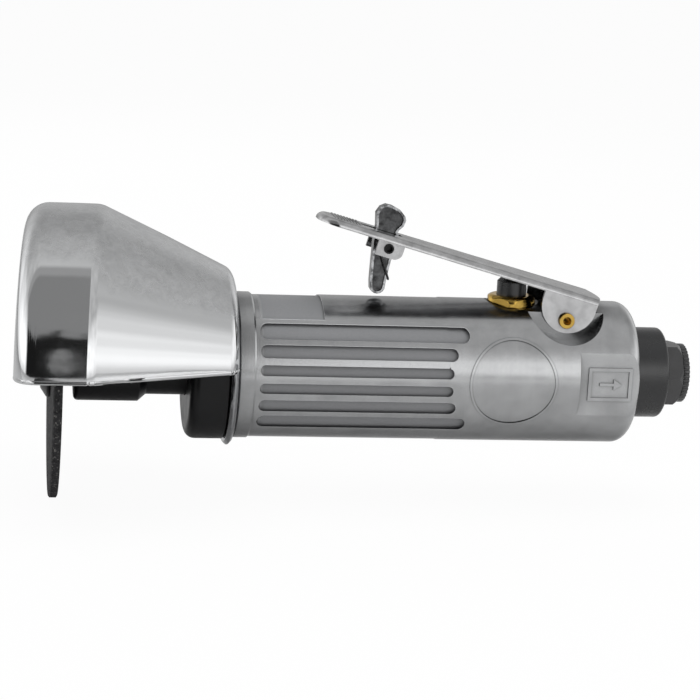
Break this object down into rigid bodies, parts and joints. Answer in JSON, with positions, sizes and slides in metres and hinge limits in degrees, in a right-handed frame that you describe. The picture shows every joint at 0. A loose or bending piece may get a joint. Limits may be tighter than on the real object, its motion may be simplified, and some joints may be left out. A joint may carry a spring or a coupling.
{
  "type": "air cut-off grinder",
  "caption": "Hand-held air cut-off grinder: round grip with a throttle lever and folding lock, half-drum guard round a thin cutting wheel, and a hexagonal air inlet.",
  "frame": {"origin": "centre of the air inlet's mouth, on the motor axis", "axes": "+X out of the air inlet along the motor axis, the wheel is at -X; +Z to the throttle lever's side; +Y to the side away from the picture's viewer"},
  "size_m": [0.1906, 0.0884, 0.0847],
  "materials": {
    "cast_alloy": "satin cast aluminium, polished on its round parts",
    "guard_chrome": "polished sheet steel",
    "lever_steel": "nickel-plated sheet steel",
    "lock_chrome": "chromed steel",
    "black_steel": "black oxide, satin",
    "hex_steel": "dark grey oxide, satin",
    "brass": "turned brass",
    "black_plastic": "satin black plastic",
    "rubber": "black rubber",
    "wheel_grit": "dark grey bonded grit",
    "machined_steel": "ground steel",
    "plate_alloy": "machined aluminium",
    "spring_steel": "dark spring wire",
    "vane_fibre": "brown fibre-resin",
    "gasket_fibre": "pressed fibre",
    "felt": "grey felt",
    "cage_brass": "pressed brass"
  },
  "bodies": {
    "housing": {"motor_housing": "cast_alloy", "front_clamp_nut": "black_steel", "spindle_dust_seal": "felt", "front_end_plate": "plate_alloy", "motor_cylinder": "machined_steel", "cylinder_dowel": "machined_steel", "rear_end_plate": "plate_alloy", "housing_gasket": "gasket_fibre", "front_bearing_outer_race": "machined_steel", "rear_bearing_outer_race": "machined_steel", "valve_bush": "brass", "valve_seat": "rubber", "lever_pin": "brass", "inlet_bushing": "hex_steel", "inlet_screen": "machined_steel", "bushing_seal": "rubber"},
    "guard": {"guard_shell": "guard_chrome", "guard_plate": "guard_chrome"},
    "rotor": {"rotor": "machined_steel", "rotor_vanes": "vane_fibre", "spindle": "black_steel", "wheel_spacer": "black_steel", "cutting_wheel": "wheel_grit", "wheel_flange": "machined_steel", "arbor_screw": "black_steel", "front_bearing_inner_race": "machined_steel", "rear_bearing_inner_race": "machined_steel"},
    "front_ball_set": {"front_bearing_balls": "machined_steel", "front_bearing_cage": "cage_brass"},
    "rear_ball_set": {"rear_bearing_balls": "machined_steel", "rear_bearing_cage": "cage_brass"},
    "lever": {"throttle_lever": "lever_steel", "lock_pin": "machined_steel"},
    "lock": {"lock_lever": "lock_chrome", "lock_spring": "spring_steel"},
    "valve": {"valve_button": "black_plastic", "button_seal": "rubber", "valve_stem": "machined_steel", "valve_spring": "spring_steel"},
    "collar": {"exhaust_collar": "black_plastic", "exhaust_felt": "felt"}
  },
  "joints": [
    {"name": "wheel_spin", "type": "hinge", "parent": "housing", "child": "rotor", "pos_m": [0, 0, 0], "axis": [1, 0, 0], "continuous": true},
    {"name": "front_balls_spin", "type": "hinge", "parent": "housing", "child": "front_ball_set", "pos_m": [0, 0, 0], "axis": [1, 0, 0], "continuous": true},
    {"name": "rear_balls_spin", "type": "hinge", "parent": "housing", "child": "rear_ball_set", "pos_m": [0, 0, 0], "axis": [1, 0, 0], "continuous": true},
    {"name": "guard_turn", "type": "hinge", "parent": "housing", "child": "guard", "pos_m": [0, 0, 0], "axis": [1, 0, 0], "continuous": true},
    {"name": "collar_turn", "type": "hinge", "parent": "housing", "child": "collar", "pos_m": [0, 0, 0], "axis": [1, 0, 0], "continuous": true},
    {"name": "lever_press", "type": "hinge", "parent": "housing", "child": "lever", "pos_m": [-0.0382, 0, 0.0165], "axis": [0, -1, 0], "range_deg": [0, 5], "stiffness_Nm_per_rad": 2, "springref_deg": -2.86},
    {"name": "lock_fold", "type": "hinge", "parent": "lever", "child": "lock", "pos_m": [-0.08981, 0, 0.03525], "axis": [0, -1, 0], "range_deg": [0, 75.2], "deforming": ["lock_spring"]},
    {"name": "valve_push", "type": "slide", "parent": "housing", "child": "valve", "axis": [0, 0, -1], "range_m": [0, 0.0011], "deforming": ["valve_spring"]}
  ],
  "couplings": [
    {"joint": "front_balls_spin", "follows": "wheel_spin", "ratio": 0.3678},
    {"joint": "rear_balls_spin", "follows": "wheel_spin", "ratio": 0.368},
    {"joint": "lock_fold", "follows": "lever_press", "ratio": 15},
    {"joint": "valve_push", "follows": "lever_press", "m_per_rad": 0.012}
  ]
}
